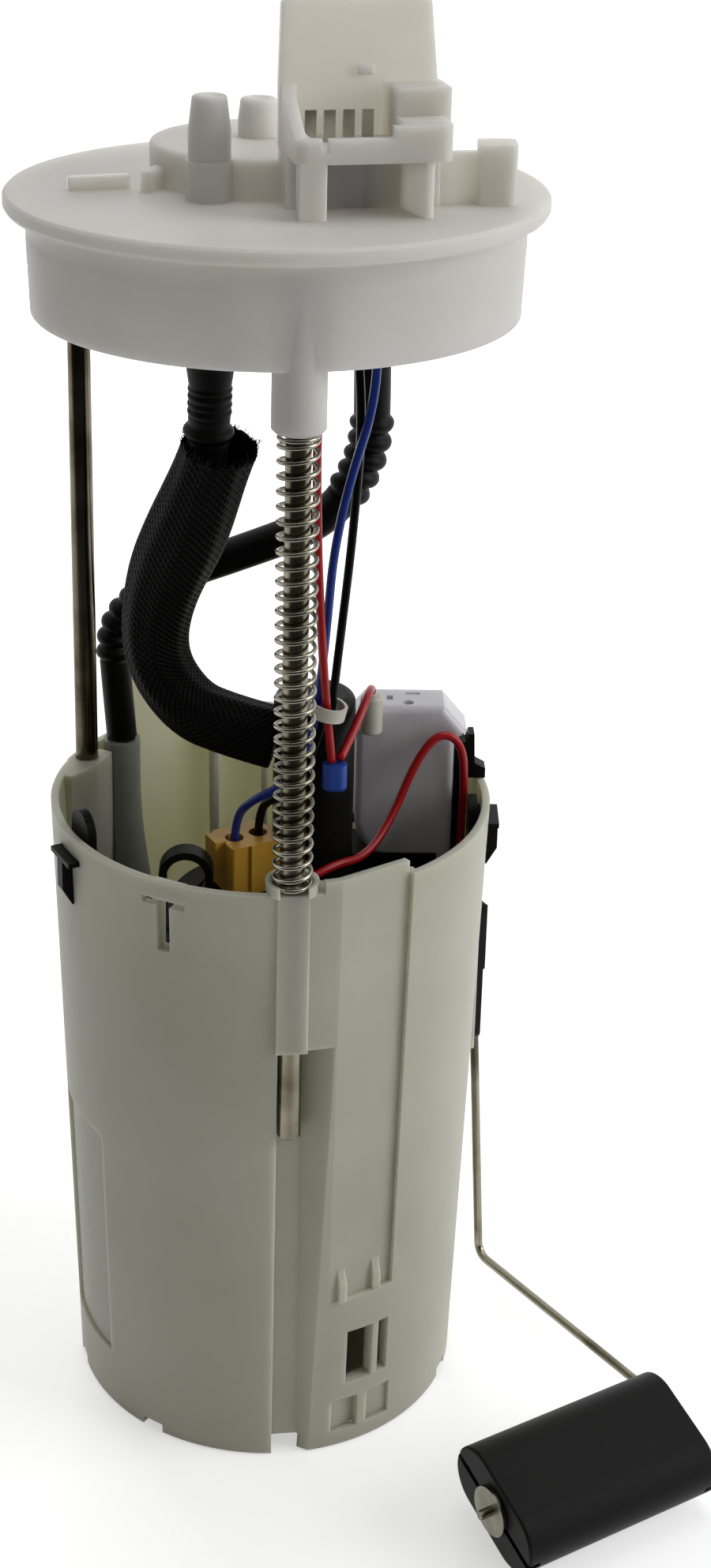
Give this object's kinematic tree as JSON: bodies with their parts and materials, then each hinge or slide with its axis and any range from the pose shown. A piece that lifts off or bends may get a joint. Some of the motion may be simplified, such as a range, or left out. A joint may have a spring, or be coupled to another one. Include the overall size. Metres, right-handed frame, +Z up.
{
  "type": "fuel pump module",
  "caption": "In-tank fuel pump module: sprung white flange on guide rods over a cream swirl-pot reservoir holding the pump, hoses and wiring, with a level float on a wire arm.",
  "frame": {"origin": "centre of the reservoir's foot pad, on its underside", "axes": "+Z up along the pump axis, -Y towards the side with the sprung guide rod, float to +X"},
  "size_m": [0.1818, 0.1667, 0.3765],
  "materials": {
    "cup_plastic": "satin",
    "flange_plastic": "satin",
    "black_plastic": "satin",
    "ivory_plastic": "satin",
    "yellow_plastic": "satin",
    "blue_cap": "satin",
    "steel": "satin",
    "spring_steel": "polished",
    "case_steel": "satin",
    "contact_metal": "satin",
    "magnet": "matte",
    "black_rubber": "matte",
    "braid": "matte",
    "mesh_cloth": "matte",
    "red_wire": "gloss",
    "blue_wire": "gloss",
    "black_wire": "gloss",
    "float_foam": "matte",
    "lilac_plastic": "satin",
    "ceramic_card": "matte"
  },
  "bodies": {
    "reservoir_assembly": {"reservoir": "cup_plastic", "spring": "spring_steel", "pump_case": "case_steel", "pump_inlet_cap": "black_plastic", "pump_cover_plate": "case_steel", "pump_magnets": "magnet", "pump_brushes": "magnet", "pump_outlet_cap": "black_plastic", "pump_terminals": "contact_metal", "pump_connector": "yellow_plastic", "pump_carrier": "black_plastic", "upper_isolator": "black_rubber", "lower_isolator": "black_rubber", "suppressor_housing": "lilac_plastic", "suppressor_grommet": "ivory_plastic", "inlet_strainer": "mesh_cloth", "foot_valve": "black_rubber", "return_tube": "ivory_plastic", "jet_pump_body": "black_plastic", "jet_nozzle": "contact_metal", "outlet_elbow": "black_plastic", "supply_hose": "black_plastic", "return_hose": "black_plastic", "supply_hose_sleeve": "braid", "red_supply_wire": "red_wire", "black_wire": "black_wire", "blue_wire": "blue_wire", "red_suppressor_wire": "red_wire", "red_sender_wire": "red_wire", "splice_cap": "blue_cap", "cable_tie": "ivory_plastic", "sender_contact": "black_plastic", "sender_frame": "black_plastic", "sender_card": "ceramic_card"},
    "flange_assembly": {"flange": "flange_plastic", "flange_terminals": "contact_metal", "front_guide_rod": "steel", "left_guide_rod": "steel"},
    "float_arm_assembly": {"float_arm": "steel", "sender_hub": "black_plastic", "sender_wiper": "contact_metal", "float_retainer": "steel"},
    "float": {"float_body": "float_foam"},
    "pump_rotor": {"pump_shaft": "steel", "pump_armature": "magnet", "pump_commutator": "contact_metal", "pump_impeller": "black_plastic"},
    "check_valve": {"outlet_check_valve": "black_rubber"}
  },
  "joints": [
    {"name": "flange_slide", "type": "slide", "parent": "reservoir_assembly", "child": "flange_assembly", "axis": [0, 0, 1], "range_m": [-0.055, 0], "stiffness_N_per_m": 300, "springref_m": 0.03, "deforming": ["spring", "supply_hose", "supply_hose_sleeve", "return_hose", "red_supply_wire", "black_wire", "blue_wire"]},
    {"name": "float_arm_swing", "type": "hinge", "parent": "reservoir_assembly", "child": "float_arm_assembly", "pos_m": [0.04996, 0.03346, 0.108], "axis": [-0.866, -0.5, 0], "range_deg": [0, 75]},
    {"name": "float_turn", "type": "hinge", "parent": "float_arm_assembly", "child": "float", "pos_m": [0.08704, -0.07076, 0.014], "axis": [0.866, 0.5, 0], "continuous": true},
    {"name": "rotor_spin", "type": "hinge", "parent": "reservoir_assembly", "child": "pump_rotor", "pos_m": [0, -0.011, 0.08], "axis": [0, 0, 1], "continuous": true},
    {"name": "check_valve_lift", "type": "slide", "parent": "reservoir_assembly", "child": "check_valve", "axis": [0, 0, 1], "range_m": [0, 0.0015], "stiffness_N_per_m": 60, "springref_m": -0.001}
  ]
}
